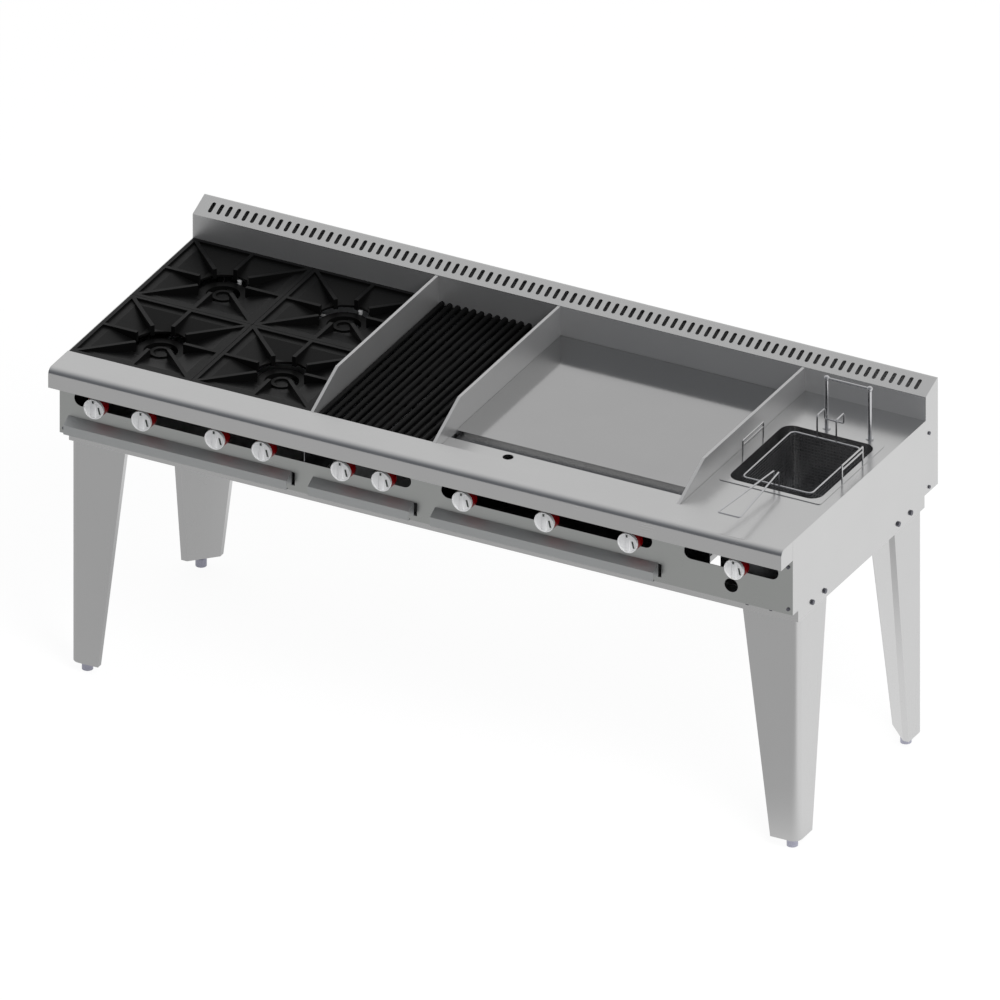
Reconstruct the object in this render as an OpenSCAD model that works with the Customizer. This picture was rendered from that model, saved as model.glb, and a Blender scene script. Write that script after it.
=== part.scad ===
// Commercial gas range-top: open burners, char-broiler, griddle and fryer in one
// row on a stand. Floor at Z = 0, +X to the right, +Y to the rear, millimetres.
// The origin is the floor point under the middle of the overall width and depth.

/* [Sections] */
// Width of the open-burner section
burner_w = 600; // [500:5:720]
// Width of the char-broiler section
broiler_w = 300; // [250:5:360]
// Width of the griddle section
griddle_w = 600; // [500:5:720]
// Width of the fryer section
fryer_w = 300; // [280:5:360]

/* [Body] */
// Depth of the body from the front panel to the rear face
body_d = 679; // [600:1:815]
// Height of the body above the base frame
body_h = 183; // [165:1:220]
// How far the apron stands out in front of the front panel
apron_reach = 54; // [45:1:65]
// Depth of the flat apron landing behind the front panel
landing_d = 39; // [32:1:47]
// Height of the apron's front face
apron_drop = 47; // [40:1:50]
// Outside radius of the apron's front bend
apron_r = 15; // [8:1:18]
// Thickness of the body sheet
sheet = 1.5; // [1.2:0.1:2]

/* [Stand] */
// Height of the legs from the feet to the base frame
leg_h = 547; // [456:1:656]
// Width of each leg wing where it enters the frame
leg_top_w = 135; // [112:1:162]
// Width of each leg wing at the foot
leg_foot_w = 68; // [60:1:80]
// Outside radius of the leg's corner
leg_r = 20; // [10:1:24]
// Width of the leg's edge flanges
leg_flange = 15; // [12:1:18]
// Thickness of the leg sheet
leg_t = 2.5; // [2:0.1:3]
// Height of the levelling feet
foot_h = 25; // [20:1:30]
// Diameter of the levelling feet
foot_dia = 25; // [21:1:30]
// Diameter of the foot's threaded stem
stem_dia = 10; // [8:1:12]
// Distance of the foot from the leg's outside corner
foot_in = 28; // [24:1:33]
// Height of the base frame
frame_h = 38; // [32:1:46]
// Thickness of the base frame
frame_t = 2; // [1.6:0.1:2.6]
// Width of the base frame's top flange
frame_flange = 32; // [26:1:38]
// How far the frame is set in from the body's right side
frame_in = 7.6; // [5:0.1:9]
// How far the frame is set in from the body's left side
frame_left = 1.8; // [1.6:0.1:2.2]
// How far the frame is set back behind the front panel
frame_back = 40; // [33:1:48]
// How far the frame stops short of the rear face
frame_short = 48; // [40:1:57]
// Across-corner diameter of the leg bolts' heads
bolt_head = 12; // [10:0.5:14]
// Diameter of the leg bolts
bolt_dia = 8; // [6:0.5:9]

/* [Backguard] */
// Height of the backguard above the cooking surface
back_h = 80; // [66:1:96]
// Depth of the backguard and of the flue behind it
back_d = 57; // [48:1:68]
// Height of the backguard's upright front face
back_face = 58; // [48:1:62]
// Number of louvre slots
louvre_n = 85; // [60:1:100]
// Width of a louvre slot
louvre_w = 9; // [7:0.5:10]
// Length of a louvre slot along the slope
louvre_l = 30; // [22:1:34]

/* [Splash guards] */
// Height of the guards above the cooking surface
guard_h = 57; // [47:1:58]
// Length of the guards' sloping front end
guard_run = 118; // [98:1:142]
// Overall thickness of a guard
guard_t = 7; // [6:0.5:8.5]

/* [Open burners] */
// Depth of the grates' rim
grate_h = 16; // [13:1:19]
// Width of the grates' rim and ribs
grate_bar = 9; // [7:0.5:11]
// Across-flats size of the opening in the grate bowl
grate_mouth = 130; // [118:1:150]
// Drop of the grate bowl from rim to mouth
grate_drop = 20; // [16:1:22]
// Outside diameter of the burner ring
ring_dia = 114; // [95:1:124]
// Height of the burner ring
ring_h = 14; // [12:1:16]
// Distance of the burner ring below the grate top
ring_down = 33; // [30:1:36]

/* [Char-broiler] */
// Number of broiler bars
bar_n = 15; // [12:1:17]
// Diameter of a broiler bar
bar_dia = 12; // [10:0.5:13]
// Width of a radiant
radiant_w = 84; // [70:1:92]

/* [Griddle] */
// How far the griddle lies below the cooking surface
griddle_down = 14; // [11:0.5:17]
// Thickness of the griddle plate
griddle_t = 19; // [15:0.5:22]
// Depth of the ledge between the apron and the trough
ledge_d = 62; // [52:1:74]
// Width of the grease trough
trough_w = 33; // [27:1:39]
// Diameter of the grease drain
drain_dia = 24; // [20:1:28]
// Distance of the drain from the section's left side
drain_x = 159; // [130:1:190]

/* [Fryer] */
// Width of the tank opening
tank_w = 225; // [187:1:228]
// Depth of the tank opening, front to rear
tank_l = 280; // [233:1:330]
// Depth of oil space in the tank
tank_h = 145; // [120:1:148]
// Corner radius of the tank
tank_r = 28; // [22:1:34]
// Width of the tank's rim flange
tank_rim = 13; // [11:0.5:15]
// Thickness of the tank's wall
tank_t = 1.5; // [1.2:0.1:2]
// Distance of the tank's front edge behind the landing
tank_back = 149; // [124:1:160]
// Width of the basket
basket_w = 175; // [146:1:178]
// Length of the basket
basket_l = 239; // [200:1:242]
// Diameter of the basket's rim and handle wire
wire_dia = 5; // [4:0.5:6]
// Length of the basket's handle
handle_l = 222; // [185:1:228]
// Height of the handle above the basket's rim
handle_h = 35; // [29:1:42]
// Height of the basket hanger
hanger_h = 124; // [104:1:148]
// Spacing of the hanger's posts
hanger_w = 106; // [88:1:127]

/* [Gas and knobs] */
// Outside diameter of the gas manifold
pipe_dia = 27; // [22:0.5:28]
// Bore of the gas inlet socket
inlet_bore = 26.4; // [21:0.1:28]
// Height of the knobs above the bottom of the body
knob_z = 94.5; // [84:0.5:100]
// Diameter of the knobs
knob_dia = 50; // [42:1:56]
// Length of the knobs
knob_l = 28; // [24:1:34]
// Diameter of the valve stems
spindle_dia = 8; // [6:0.5:9]
// Height of the slots behind the knobs
slot_h = 35; // [29:1:37]
// Outside diameter of the burner tubes
tube_dia = 22; // [18:0.5:24]

/* [Drip trays] */
// Height of a tray's pan
tray_h = 30; // [25:1:32]
// How far the handle lip stands out
lip_reach = 25; // [20:1:30]
// Height of the lip's upright face
lip_face = 22; // [18:1:26]
// Height of the lip's slope
lip_slope = 13; // [11:1:16]

/* [Hidden] */
$fn = 64;
seat = 0.2;
run_fit = 0.05;
row_w = burner_w + broiler_w + griddle_w + fryer_w;
row_d = apron_reach + body_d;
// Stations across the row, front to rear and from the floor up
x1 = burner_w;
x2 = x1 + broiler_w;
x3 = x2 + griddle_w;
y_panel = apron_reach;
y_in = y_panel + sheet;
y_land = y_panel + landing_d;
y_back = row_d - back_d;
z_frame = foot_h + leg_h;
z_box = z_frame + frame_h;
z_top = z_box + body_h;
z_knob = z_box + knob_z;
cap_drop = 23;
z_cap = z_top - cap_drop;
lap = 0.5;
// Frame and legs
frame_x0 = frame_left;
frame_x1 = row_w - frame_in;
frame_y0 = y_panel + frame_back;
frame_y1 = row_d - frame_short;
leg_z1 = z_box - frame_t;
leg_top = z_frame - foot_h;
leg_taper = (leg_top_w - leg_foot_w) / leg_top;
leg_full_w = leg_foot_w + leg_taper * (leg_z1 - foot_h);
foot_plate = 3;
flange_in = leg_flange - lap;
bolt_clear = 0.2;
bolt_pitch = 0.43 * leg_top_w;
bolt_edge = 0.47 * leg_top_w;
bolt_rise = 4;
bolt_z = z_frame + frame_h / 2;
// Splash guards
guard_tip = 3;
guard_gap = 2;
guard_foot = z_top - 21;
bulk_t = 2;
// Gas
pipe_r = pipe_dia / 2;
pipe_y = y_panel + 41;
pipe_x0 = 30;
pipe_x1 = row_w - 24;
inlet_z = z_knob - 29;
join_z = (z_knob + inlet_z) / 2;
tube_r = tube_dia / 2;
tube_z = z_knob + pipe_r + tube_r + 3;
tube_wall = 1.5;
tube_y0 = y_panel + 34;
valve_r = 11;
spud_r = 6;
spindle_r = spindle_dia / 2;
spindle_in = 14;
valve_y = y_in + 3;
// Places of the knobs as shares of each section's width
knob_share = [[0.163, 0.358, 0.658, 0.85], [0.347, 0.68], [0.17, 0.507, 0.848], [0.567]];
burner_knobs = [for (s = knob_share[0]) s * burner_w];
broiler_knobs = [for (s = knob_share[1]) x1 + s * broiler_w];
griddle_knobs = [for (s = knob_share[2]) x2 + s * griddle_w];
fryer_knobs = [for (s = knob_share[3]) x3 + s * fryer_w];
knob_x = concat(burner_knobs, broiler_knobs, griddle_knobs, fryer_knobs);
knob_gap = 2;
// Grates and burners
grate_edge = 3;
grate_gap = 1;
grate_x1 = x1 - guard_t / 2 - 0.5;
grate_w = (grate_x1 - grate_edge - grate_gap) / 2;
grate_d = (y_back - y_land - 3 * grate_gap) / 2;
grate_z = z_top - grate_h;
ring_z = z_top - ring_down - ring_h;
ring_in = 76;
cap_dia = 48;
pilot_dia = 6;
pilot_back = 62;
pilot_side = 8;
rail_w = 24;
// Broiler
broil_z = z_top - 3;
broil_x0 = x1 + guard_t / 2 + 0.5;
broil_x1 = x2 - guard_t / 2 - 0.5;
rack_z = tube_z + tube_r + 1;
radiant_t = 4;
radiant_rise = 20;
cross_h = 8;
cross_down = 3;
broil_low = broil_z - bar_dia / 2 - cross_down - cross_h;
// Griddle
griddle_z = z_top - griddle_down;
griddle_x0 = x2 + guard_t / 2 + 0.5;
griddle_x1 = x3 - guard_t / 2 - 0.5;
ledge_z = griddle_z - 2;
trough_y0 = y_land + ledge_d;
trough_y1 = trough_y0 + trough_w;
drain_y = y_land + ledge_d * 0.66;
// Fryer
deck_x0 = x3 + guard_t / 2 + 0.5;
tank_x = x3 + fryer_w / 2;
tank_y = y_land + tank_back + tank_l / 2;
tank_z0 = z_top - tank_h;
basket_r = 14;
basket_y0 = tank_y - basket_l / 2;
basket_y1 = tank_y + basket_l / 2;
wire_r = wire_dia / 2;
thin_r = wire_r * 0.8;
hanger_x = tank_x + 28;
hanger_y = tank_y + tank_l / 2 + tank_rim + 11;
hook_w = 47;
hook_h = 55;
hook_back = 33;
hook_drop = 25;
fire_z = z_box + 18;
fire_wall_y = frame_y0 + frame_flange - 6;
fire_wall_z = z_knob - pipe_r - 1;
// Trays: each has the left and right side of its section
tray_sides = [[0, x1], [x1, x2], [x2, x3]];
tray_left = 22;
tray_right = 30;
tray_open = 22.5;
tray_wall = 1.2;
tray_z = z_box + 14;
tray_in = 4;
tray_rear = 20;
lip_top = tray_z + tray_h + 3;
drain_z0 = tray_z + tray_h + 6;
runner_lip = 18;
runner_drop = 9;
side_lip = frame_left + frame_flange - 3;
// Panel screws
screw_head = 8;
screw_dia = 4;
screw_in = 11;
screw_hi = 117;
screw_lo = 13;
rear_screw_y = row_d - 41;
rear_screw_z = [z_box + 12, z_box + 145];

steel = [0.72, 0.72, 0.72];
dark_steel = [0.55, 0.56, 0.56];
iron = [0.1, 0.1, 0.1];

KNOBS = [for (i = [1:10]) str("knob_", i)];
CORNERS = ["front_left", "front_right", "rear_left", "rear_right"];
LEGS = [for (c = CORNERS) str("leg_", c)];
FEET = [for (c = CORNERS) str("foot_", c)];
GRATES = [for (c = CORNERS) str("grate_", c)];
BURNERS = [for (c = CORNERS) str("burner_", c)];
TRAYS = ["tray_burners", "tray_broiler", "tray_griddle"];
GUARDS = ["guard_broiler_left", "guard_broiler_right", "guard_griddle_right"];

// Moves work measured from the left front floor corner to the row's origin
module place() {
    translate([-row_w / 2, -row_d / 2, 0]) children();
}

// A plate drawn in Y and Z, its left face at x
module plate_x(x, t) {
    translate([x, 0, 0]) rotate([90, 0, 90]) linear_extrude(t) children();
}

// A plate drawn in X and Z, its front face at y
module plate_y(y, t) {
    translate([0, y + t, 0]) rotate([90, 0, 0]) linear_extrude(t) children();
}

// A box from one corner to the opposite one
module block(a, b) {
    translate(a) cube(b - a);
}

// Cylinders along each axis, from a starting point
module rod_x(p, l, r) {
    translate(p) rotate([0, 90, 0]) cylinder(h = l, r = r);
}

module rod_y(p, l, r) {
    translate(p) rotate([-90, 0, 0]) cylinder(h = l, r = r);
}

module rod_z(p, l, r) {
    translate(p) cylinder(h = l, r = r);
}

// A round wire between two points, with round ends
module wire(a, b, r) {
    d = b - a;
    l = norm(d);
    translate(a) rotate([0, acos(d[2] / l), atan2(d[1], d[0])]) cylinder(h = l, r = r);
    translate(a) sphere(r);
    translate(b) sphere(r);
}

// A wire bent through a list of points, eight-sided, its stretches lapped at the bends
module bent_wire(points, r) {
    for (i = [1:len(points) - 1]) {
        d = points[i] - points[i - 1];
        l = norm(d);
        translate(points[i - 1]) rotate([0, acos(d[2] / l), atan2(d[1], d[0])])
            translate([0, 0, -r * 0.7]) cylinder(h = l + r * 1.4, r = r, $fn = 8);
    }
}

// A round-ended slot in 2D from xa to xb
module slot(xa, xb, z, h) {
    translate([xa + h / 2, z - h / 2]) square([xb - xa - h, h]);
    for (x = [xa + h / 2, xb - h / 2]) translate([x, z]) circle(h / 2);
}

// A rectangle with round corners, centred
module round_rect(w, l, r) {
    square([w - 2 * r, l], center = true);
    square([w, l - 2 * r], center = true);
    for (x = [-1, 1], y = [-1, 1]) translate([x * (w / 2 - r), y * (l / 2 - r)]) circle(r);
}

function is_right(i) = i % 2 == 1;
function is_rear(i) = i > 1;

// Turns work at the front left corner of a rectangle into any of its corners
module corner(i, x0, xa, y0, ya) {
    sx = is_right(i) ? 1 : 0;
    sy = is_rear(i) ? 1 : 0;
    translate([sx == 1 ? xa : x0, sy == 1 ? ya : y0, 0])
        mirror([sx, 0, 0]) mirror([0, sy, 0]) children();
}

module leg_corner(i) {
    corner(i, frame_x0 + frame_t, frame_x1 - frame_t,
        frame_y0 + frame_t, frame_y1 - frame_t) children();
}

// Bolt places along one wing of a leg, from the outside corner
bolt_at = [bolt_edge, bolt_edge + bolt_pitch];

module bolt_rods(r, y0, l) {
    for (a = bolt_at) {
        rod_y([a, y0, bolt_z], l, r);
        rod_x([y0, a, bolt_z], l, r);
    }
}

module base_frame() {
    color(dark_steel) place() difference() {
        union() {
            difference() {
                block([frame_x0, frame_y0, z_frame], [frame_x1, frame_y1, z_box]);
                block([frame_x0 + frame_t, frame_y0 + frame_t, z_frame - 1],
                    [frame_x1 - frame_t, frame_y1 - frame_t, z_box - frame_t]);
                block([frame_x0 + frame_flange, frame_y0 + frame_flange, z_frame],
                    [frame_x1 - frame_flange, frame_y1 - frame_flange, z_box + 1]);
            }
            for (x = [x1, x2, x3]) {
                block([x - frame_flange / 2, frame_y0 + frame_t, z_box - frame_t],
                    [x + frame_flange / 2, frame_y1 - frame_t, z_box]);
                block([x - frame_t / 2, frame_y0 + frame_t, z_frame + 6],
                    [x + frame_t / 2, frame_y1 - frame_t, z_box]);
            }
        }
        for (i = [0:3]) leg_corner(i) bolt_rods(bolt_dia / 2 + bolt_clear, -frame_t - 1, frame_t + 2);
    }
}

// One wing's outline with its tapered edge, drawn in X and Z
module leg_taper_outline(inner) {
    polygon([[inner ? leg_foot_w - leg_t : -1, foot_h], [leg_foot_w, foot_h],
        [leg_full_w, leg_z1], [inner ? leg_full_w - leg_t : -1, leg_z1]]);
}

// The sheet across the leg's open side, from one edge flange to the other
module leg_cover() {
    c = 1.4 * leg_t;
    f = flange_in;
    w = leg_foot_w;
    v = leg_full_w;
    polyhedron(
        [[f, w, foot_h], [w, f, foot_h], [w - c, f, foot_h], [f, w - c, foot_h],
            [f, v, leg_z1], [v, f, leg_z1], [v - c, f, leg_z1], [f, v - c, leg_z1]],
        [[4, 5, 6, 7], [3, 2, 1, 0], [1, 5, 4, 0], [2, 6, 5, 1], [3, 7, 6, 2], [0, 4, 7, 3]]);
}

module leg(i) {
    near = leg_t - lap;
    far = leg_foot_w - leg_t + lap;
    color(steel) place() leg_corner(i) difference() {
        union() {
            intersection() {
                translate([0, 0, foot_h]) linear_extrude(leg_z1 - foot_h) {
                    translate([leg_r, 0]) square([leg_full_w, leg_t]);
                    translate([0, leg_r]) square([leg_t, leg_full_w]);
                    translate([leg_r, leg_r]) intersection() {
                        difference() {
                            circle(leg_r);
                            circle(leg_r - leg_t);
                        }
                        translate([-leg_r, -leg_r]) square(leg_r);
                    }
                }
                plate_y(-1, leg_full_w + leg_r + 2) leg_taper_outline(false);
                mirror([1, -1, 0]) plate_y(-1, leg_full_w + leg_r + 2) leg_taper_outline(false);
            }
            plate_y(0, leg_flange) leg_taper_outline(true);
            mirror([1, -1, 0]) plate_y(0, leg_flange) leg_taper_outline(true);
            leg_cover();
            translate([0, 0, foot_h]) linear_extrude(foot_plate) polygon([[near, near], [far, near],
                [far, flange_in], [flange_in, far], [near, far]]);
            translate([foot_in, foot_in, foot_h + foot_plate]) cylinder(h = 10, r = 11, $fn = 6);
        }
        rod_z([foot_in, foot_in, foot_h - 1], foot_plate + 12, stem_dia / 2 + run_fit);
        difference() {
            block([-1, -1, foot_h - 1], [leg_r, leg_r, foot_h + foot_plate + 1]);
            translate([leg_r, leg_r, foot_h - 2]) cylinder(h = foot_plate + 4, r = leg_r);
            block([leg_r, -2, foot_h - 2], [leg_r + 1, leg_r + 1, foot_h + foot_plate + 2]);
        }
        bolt_rods(bolt_dia / 2 + bolt_clear, -1, leg_t + 2);
    }
}

module foot(i) {
    color([0.66, 0.66, 0.72]) place() leg_corner(i) translate([foot_in, foot_in, 0]) {
        cylinder(h = foot_h - 6, r = foot_dia / 2);
        translate([0, 0, foot_h - 6]) cylinder(h = 6 - seat, r1 = foot_dia / 2, r2 = foot_dia / 2 - 3);
        translate([0, 0, foot_h - 6]) cylinder(h = 36, r = stem_dia / 2);
    }
}

front_slots = [[36, x2 - 37], [x2 + 37, x3 - 45], [x3 + 33, row_w - 35]];
eye_x = x3 + fryer_w / 2 - 1;
eye_z = z_box + 37;
eye_r = 16.5;
panel_lip = 60;

module front_panel() {
    color(dark_steel) place() {
        difference() {
            plate_y(y_panel, sheet) difference() {
                translate([0, z_box]) square([row_w, body_h - sheet]);
                for (s = front_slots) slot(s[0], s[1], z_knob, slot_h);
                translate([eye_x, eye_z]) circle(eye_r);
                for (t = tray_sides) translate([t[0] + tray_left + tray_in - 1, tray_z - 1])
                    square([t[1] - t[0] - tray_left - tray_open - tray_in + 1, tray_h + 2]);
            }
            for (x = [screw_in, row_w - screw_in], z = [screw_lo, screw_hi])
                rod_y([x, y_panel - 1, z_box + z], sheet + 2, screw_dia / 2 + bolt_clear);
        }
        block([frame_x0 + frame_flange, y_in - lap, z_box],
            [frame_x1 - frame_flange, y_panel + panel_lip, z_box + sheet]);
    }
}

// The apron's section in Y and Z; grow shrinks it to the inner face
module apron_outline(grow) {
    r = apron_r - grow;
    y0 = grow;
    z1 = z_top - grow;
    translate([y0, z_top - apron_drop - 1]) square([y_land - 2 * grow, apron_drop + 1 - grow - r]);
    translate([y0 + r, z_top - apron_drop - 1]) square([y_land - 2 * grow - r, apron_drop + 1 - grow]);
    translate([y0 + r, z1 - r]) circle(r);
}

module front_apron() {
    color(steel) place() {
        difference() {
            plate_x(0, row_w) apron_outline(0);
            plate_x(-1, row_w + 2) apron_outline(sheet);
            block([-1, y_panel, z_top - apron_drop - 3], [row_w + 1, y_land - sheet, z_top - sheet]);
            block([-1, y_land - 2 * sheet, z_top - apron_drop - 3], [row_w + 1, y_land + 1, z_cap]);
            block([-1, -1, z_top - apron_drop - 3], [row_w + 1, y_panel + 1, z_top - apron_drop]);
        }
        block([0, sheet - lap, z_top - apron_drop], [row_w, 14, z_top - apron_drop + sheet]);
        for (x = [0, row_w - sheet]) plate_x(x, sheet) intersection() {
            apron_outline(0);
            translate([0, z_top - apron_drop]) square([y_panel, apron_drop]);
        }
    }
}

// A side panel, which also closes the backguard's end; the right one is its mirror
module side_panel(right) {
    top = right ? z_cap : z_top - sheet;
    color([0.8, 0.8, 0.8]) place() corner(right ? 1 : 0, 0, row_w, 0, 0) difference() {
        union() {
            plate_x(0, sheet) polygon([[y_in, z_box], [row_d, z_box], [row_d, z_top + back_h],
                [slope_y, z_top + back_h], [y_back, z_top + back_face], [y_back, top],
                [y_land - sheet, top], [y_land - sheet, z_top - sheet], [y_in, z_top - sheet]]);
            block([sheet - lap, y_in, z_box], [side_lip, row_d - sheet, z_box + sheet]);
            block([sheet - lap, y_in, z_box], [22, y_in + sheet, z_top - apron_drop]);
        }
        for (z = [screw_lo, screw_hi])
            rod_y([screw_in, y_in - 1, z_box + z], sheet + 2, screw_dia / 2 + bolt_clear);
        for (z = rear_screw_z) rod_x([-1, rear_screw_y, z], sheet + 2, screw_dia / 2 + bolt_clear);
        if (!right) block([-1, y_land - sheet, z_cap], [sheet + 1, y_land, z_top]);
    }
}

module rear_panel() {
    color(dark_steel) place() difference() {
        union() {
            block([sheet, row_d - sheet, z_box + sheet], [row_w - sheet, row_d, z_cap]);
            block([frame_x0 + frame_flange, frame_y1 - 12, z_box],
                [frame_x1 - frame_flange, row_d, z_box + sheet]);
            for (x = [sheet, row_w - 2 * sheet])
                block([x, row_d - 50, z_box + sheet], [x + sheet, row_d - sheet + lap, z_cap]);
        }
        for (x = [sheet, row_w - 2 * sheet], z = rear_screw_z)
            rod_x([x - 1, rear_screw_y, z], sheet + 2, screw_dia / 2 + bolt_clear);
        rod_y([pipe_x0, row_d - sheet - 1, inlet_z], sheet + 2, inlet_r + 0.3);
    }
}

// The backguard's section in Y and Z, shrunk by t on every face
slope_y = row_d - 3;
module back_outline(t) {
    polygon([[y_back + t, z_cap - (t > 0 ? 1 : 0)], [y_back + t, z_top + back_face - t * 0.8],
        [slope_y - t * 0.4, z_top + back_h - t], [row_d - t, z_top + back_h - t],
        [row_d - t, z_cap - (t > 0 ? 1 : 0)]]);
}

slope_dy = slope_y - y_back;
slope_dz = back_h - back_face;
slope_a = atan2(slope_dz, slope_dy);
slope_l = norm([slope_dy, slope_dz]);
louvre_pitch = (row_w - 46) / louvre_n;

module backguard_shell() {
    difference() {
        plate_x(sheet, row_w - 2 * sheet) back_outline(0);
        plate_x(0, row_w) back_outline(sheet);
    }
}

// The part of the section that belongs to the louvred sheet
module slope_zone() {
    front_z = z_top + back_face - 0.8 * sheet;
    rear_z = z_top + back_h - sheet;
    plate_x(-1, row_w + 2) polygon([[y_back - 1, front_z], [y_back + sheet, front_z],
        [slope_y - 0.4 * sheet, rear_z], [row_d + 1, rear_z], [row_d + 1, rear_z + 6],
        [y_back - 1, rear_z + 6]]);
}

module backguard() {
    color([0.68, 0.68, 0.68]) place() difference() {
        backguard_shell();
        slope_zone();
    }
}

module louvre_panel() {
    color([0.74, 0.74, 0.74]) place() difference() {
        intersection() {
            backguard_shell();
            slope_zone();
        }
        translate([0, y_back, z_top + back_face]) rotate([slope_a, 0, 0])
            for (i = [0:louvre_n - 1]) translate([23 + (i + 0.5) * louvre_pitch, slope_l / 2, -6])
                linear_extrude(12) rotate(90) slot(-louvre_l / 2, louvre_l / 2, 0, louvre_w);
    }
}

function guard_line(y) = z_top + (y - y_land + guard_tip) * guard_h / guard_run;
guard_knee = y_land - guard_tip + guard_run;

module bulkheads() {
    color(dark_steel) place() for (x = [x1, x2, x3]) difference() {
        plate_x(x - bulk_t / 2, bulk_t) polygon([
            [y_in, z_box + sheet], [y_panel + panel_lip, z_box + sheet], [y_panel + panel_lip, z_box],
            [frame_y1 - 12, z_box], [frame_y1 - 12, z_box + sheet], [row_d - sheet, z_box + sheet],
            [row_d - sheet, z_cap], [y_back, z_cap], [y_back, z_top + guard_h - sheet],
            [guard_knee + 1, z_top + guard_h - sheet], [y_land + 8, guard_line(y_land + 7) - sheet],
            [y_land + 8, z_cap], [y_land - sheet, z_cap], [y_land - sheet, z_top - sheet],
            [y_in, z_top - sheet]]);
        rod_x([x - 5, pipe_y, z_knob], 10, pipe_r + 0.3);
    }
}

module guard(x) {
    color([0.6, 0.6, 0.6]) place() difference() {
        plate_x(x - guard_t / 2, guard_t) polygon([[y_land, guard_foot], [y_back, guard_foot],
            [y_back, z_top + guard_h], [guard_knee, z_top + guard_h],
            [y_land - guard_tip, z_top], [y_land, z_top]]);
        plate_x(x - guard_gap, 2 * guard_gap) polygon([[y_land + 6, guard_foot - 1],
            [y_back + 1, guard_foot - 1], [y_back + 1, z_top + guard_h - sheet],
            [guard_knee, z_top + guard_h - sheet], [y_land + 6, guard_line(y_land + 6) - sheet]]);
    }
}

// Centre of a grate or burner: 0 and 1 in front, 2 and 3 behind
function spot_x(i) = grate_edge + grate_w / 2 + (is_right(i) ? grate_w + grate_gap : 0);
function spot_y(i) = y_land + grate_gap + grate_d / 2 + (is_rear(i) ? grate_d + grate_gap : 0);

// Outer edge of the bowl is under the rim, its mouth is an octagon
module bowl(shrink) {
    mouth = grate_mouth / min(grate_w, grate_d);
    translate([0, 0, -grate_drop]) mirror([0, 0, 1]) translate([0, 0, -grate_drop])
        linear_extrude(grate_drop, scale = mouth)
            square([grate_w - 2 * shrink, grate_d - 2 * shrink], center = true);
}

module grate(i) {
    bowl_t = 5;
    rib_in = grate_mouth / 2 - 8;
    diagonal = norm([grate_w, grate_d]) / 2 - grate_bar;
    color(iron) place() translate([spot_x(i), spot_y(i), z_top]) difference() {
        union() {
            difference() {
                translate([-grate_w / 2, -grate_d / 2, -grate_h]) cube([grate_w, grate_d, grate_h]);
                translate([grate_bar - grate_w / 2, grate_bar - grate_d / 2, -grate_h - 1])
                    cube([grate_w - 2 * grate_bar, grate_d - 2 * grate_bar, grate_h + 2]);
            }
            difference() {
                translate([0, 0, -bowl_t]) bowl(grate_bar - lap);
                bowl(grate_bar - lap);
                translate([0, 0, -grate_drop - 10]) cylinder(h = grate_drop + 10, r = grate_mouth / 2);
            }
            for (a = [0:90:270]) {
                reach = (a % 180 == 0 ? grate_w : grate_d) / 2 - grate_bar + lap;
                rotate(a) translate([rib_in, -grate_bar / 2, -grate_drop - 4])
                    cube([reach - rib_in, grate_bar, grate_drop + 4]);
            }
            for (x = [-1, 1], y = [-1, 1]) rotate(atan2(y * grate_d, x * grate_w))
                translate([rib_in, -grate_bar / 2, -grate_drop - 4])
                    cube([diagonal - rib_in, grate_bar, grate_drop + 4]);
        }
        // Under the rim the ribs end flush, clear of the ledges that carry it
        difference() {
            translate([-grate_w / 2 - 1, -grate_d / 2 - 1, -grate_h - 20])
                cube([grate_w + 2, grate_d + 2, 20]);
            translate([grate_bar - grate_w / 2, grate_bar - grate_d / 2, -grate_h - 21])
                cube([grate_w - 2 * grate_bar, grate_d - 2 * grate_bar, 22]);
        }
    }
}

// A burner: ring head, spider, neck and the mixing tube back to its valve
module burner(i) {
    x = spot_x(i);
    y = spot_y(i);
    kx = burner_knobs[(is_right(i) ? 2 : 0) + (is_rear(i) == is_right(i) ? 1 : 0)];
    side = sign(kx - x);
    color([0.16, 0.16, 0.17]) place() difference() {
        union() {
            difference() {
                rod_z([x, y, ring_z], ring_h, ring_dia / 2);
                rod_z([x, y, ring_z - 1], ring_h + 2, ring_in / 2);
            }
            difference() {
                rod_z([x, y, ring_z], ring_h - 2, cap_dia / 2);
                rod_z([x, y, ring_z + 5], ring_h, cap_dia / 2 - 8);
            }
            block([x - ring_dia / 2 + 4, y - 7, ring_z], [x + ring_dia / 2 - 4, y + 7, ring_z + 8]);
            block([x - 7, y - ring_dia / 2 + 4, ring_z], [x + 7, y + ring_dia / 2 - 4, ring_z + 8]);
            rod_z([x, y, tube_z], ring_z + 2 - tube_z, tube_r);
            rod_x([min(x, kx), y, tube_z], abs(kx - x), tube_r);
            translate([kx, y, tube_z]) sphere(tube_r);
            rod_y([kx, tube_y0, tube_z], y - tube_y0, tube_r);
        }
        rod_y([kx, tube_y0 - 1, tube_z], y - tube_y0, tube_r - tube_wall);
    }
}

// Rails that carry the burner tubes: [left, right, y, top]
rest_z = tube_z - tube_r - 0.1;
rails = [
    [sheet, x1 - bulk_t / 2, spot_y(0), rest_z],
    [sheet, x1 - bulk_t / 2, spot_y(2), rest_z],
    [x1 + bulk_t / 2, x2 - bulk_t / 2, y_back - 60, rest_z],
    [x2 + bulk_t / 2, x3 - bulk_t / 2, y_back - 60, rest_z],
    [x3 + bulk_t / 2, row_w - sheet, tank_y, fire_z - tube_r - 0.1]];

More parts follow.
